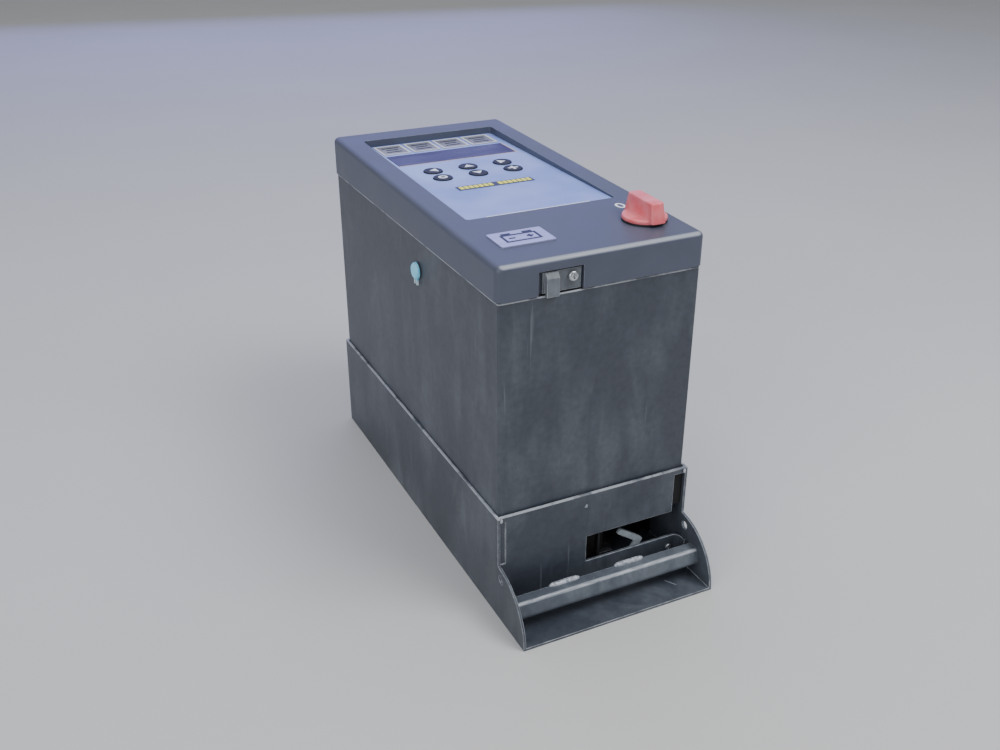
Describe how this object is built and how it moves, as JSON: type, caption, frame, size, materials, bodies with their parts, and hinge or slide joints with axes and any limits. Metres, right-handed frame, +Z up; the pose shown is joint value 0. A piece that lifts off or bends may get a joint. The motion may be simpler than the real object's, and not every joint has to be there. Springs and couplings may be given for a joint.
{
  "type": "industrial power control unit",
  "caption": "Upright sheet-steel power unit with a hinged cover, operator panel and red main switch, standing in a folded dock with a hand rail and lever lock.",
  "frame": {"origin": "middle of the dock underside, on the plane the dock stands on", "axes": "+X to the right across the width, seen from the front; +Y towards the rear, where the cable enters; +Z up"},
  "size_m": [0.1722, 0.422, 0.3083],
  "materials": {
    "dock_steel": "charcoal powder coat, worn at the edges",
    "weld_bead": "weld bead, coat rubbed away",
    "screw_steel": "zinc-plated screw steel",
    "zinc_steel": "galvanised sheet",
    "black_moulding": "moulded black nylon",
    "housing_paint": "charcoal powder coat with dusty smears",
    "seal_foam": "closed-cell foam",
    "hinge_steel": "painted hinge leaf",
    "blue_cap": "soft blue moulding",
    "winding_tape": "polyester tape over copper winding",
    "sink_aluminium": "extruded",
    "module_epoxy": "potted module",
    "circuit_board": "solder-masked glass epoxy",
    "capacitor_sleeve": "shrink sleeve",
    "filter_can": "tinned can",
    "terminal_grey": "moulded terminal",
    "earth_brass": "turned brass",
    "cover_moulding": "fine-grained charcoal moulding",
    "panel_film": "printed polyester film",
    "display_lens": "dark acrylic lens",
    "label_film": "printed label fields",
    "scale_film": "dark strip with a yellow bar scale",
    "badge_metal": "etched plate",
    "display_glass": "display glass and carrier",
    "latch_steel": "black plated latch",
    "red_knob": "red moulded knob",
    "key_cap": "dark key with a pale sign"
  },
  "bodies": {
    "dock": {"dock_tray": "dock_steel", "dock_apron": "dock_steel", "apron_welds": "weld_bead", "front_rail": "dock_steel", "rail_back_strip": "dock_steel", "rail_welds": "weld_bead", "apron_screw": "screw_steel", "support_rails": "zinc_steel", "dock_socket": "black_moulding", "cable_gland": "black_moulding", "gland_nut": "black_moulding", "lever_bracket": "zinc_steel", "lever_pin": "screw_steel"},
    "lever": {"release_lever": "zinc_steel"},
    "housing": {"housing_shell": "housing_paint", "cover_seal": "seal_foam", "hinge_leaf_fixed": "hinge_steel", "hinge_pin": "screw_steel", "lock_catch": "zinc_steel", "dock_plug": "black_moulding", "side_grommet": "black_moulding", "chassis_plate": "zinc_steel", "chassis_spacers": "zinc_steel", "toroid_winding": "winding_tape", "toroid_clamp": "zinc_steel", "toroid_bolt": "zinc_steel", "heat_sink": "sink_aluminium", "power_modules": "module_epoxy", "power_board": "circuit_board", "capacitors": "capacitor_sleeve", "mains_filter": "filter_can", "terminal_blocks": "terminal_grey", "earth_stud": "earth_brass", "fan_frame": "black_moulding"},
    "fan": {"fan_rotor": "black_moulding"},
    "cap": {"side_cap": "blue_cap"},
    "cover": {"lid_cover": "cover_moulding", "hinge_leaf_moving": "hinge_steel", "panel_overlay": "panel_film", "display_window": "display_lens", "status_labels": "label_film", "scale_strip": "scale_film", "badge_plate": "badge_metal", "control_board": "circuit_board", "key_switches": "black_moulding", "display_module": "display_glass", "board_pillars": "zinc_steel", "latch_plate": "latch_steel", "switch_bezel": "black_moulding", "isolator_body": "black_moulding"},
    "latch": {"latch_screw": "screw_steel", "latch_cam": "screw_steel"},
    "knob": {"switch_knob": "red_knob", "switch_shaft": "black_moulding"},
    "key_1": {"key_1": "key_cap"},
    "key_2": {"key_2": "key_cap"},
    "key_3": {"key_3": "key_cap"},
    "key_4": {"key_4": "key_cap"},
    "key_5": {"key_5": "key_cap"},
    "key_6": {"key_6": "key_cap"}
  },
  "joints": [
    {"name": "housing_lift", "type": "slide", "parent": "dock", "child": "housing", "axis": [0, 0, 1], "range_m": [0, 0.09]},
    {"name": "lever_swing", "type": "hinge", "parent": "dock", "child": "lever", "pos_m": [0.0354, -0.14655, 0.009], "axis": [0, -1, 0], "range_deg": [0, 35]},
    {"name": "fan_spin", "type": "hinge", "parent": "housing", "child": "fan", "pos_m": [0, 0.17015, 0.112], "axis": [0, 1, 0], "continuous": true},
    {"name": "cap_pull", "type": "slide", "parent": "housing", "child": "cap", "axis": [-1, 0, 0], "range_m": [0, 0.015]},
    {"name": "cover_hinge", "type": "hinge", "parent": "housing", "child": "cover", "pos_m": [0, 0.20175, 0.2631], "axis": [-1, 0, 0], "range_deg": [0, 100]},
    {"name": "latch_turn", "type": "hinge", "parent": "cover", "child": "latch", "pos_m": [-0.0253, -0.14765, 0.2743], "axis": [0, 1, 0], "range_deg": [0, 90]},
    {"name": "switch_turn", "type": "hinge", "parent": "cover", "child": "knob", "pos_m": [0.0572, -0.11035, 0.29045], "axis": [0, 0.0209, -0.9998], "range_deg": [0, 90]},
    {"name": "key_1_press", "type": "slide", "parent": "cover", "child": "key_1", "axis": [0, 0, -1], "range_m": [0, 0.0008], "stiffness_N_per_m": 1500},
    {"name": "key_2_press", "type": "slide", "parent": "cover", "child": "key_2", "axis": [0, 0, -1], "range_m": [0, 0.0008], "stiffness_N_per_m": 1500},
    {"name": "key_3_press", "type": "slide", "parent": "cover", "child": "key_3", "axis": [0, 0, -1], "range_m": [0, 0.0008], "stiffness_N_per_m": 1500},
    {"name": "key_4_press", "type": "slide", "parent": "cover", "child": "key_4", "axis": [0, 0, -1], "range_m": [0, 0.0008], "stiffness_N_per_m": 1500},
    {"name": "key_5_press", "type": "slide", "parent": "cover", "child": "key_5", "axis": [0, 0, -1], "range_m": [0, 0.0008], "stiffness_N_per_m": 1500},
    {"name": "key_6_press", "type": "slide", "parent": "cover", "child": "key_6", "axis": [0, 0, -1], "range_m": [0, 0.0008], "stiffness_N_per_m": 1500}
  ]
}
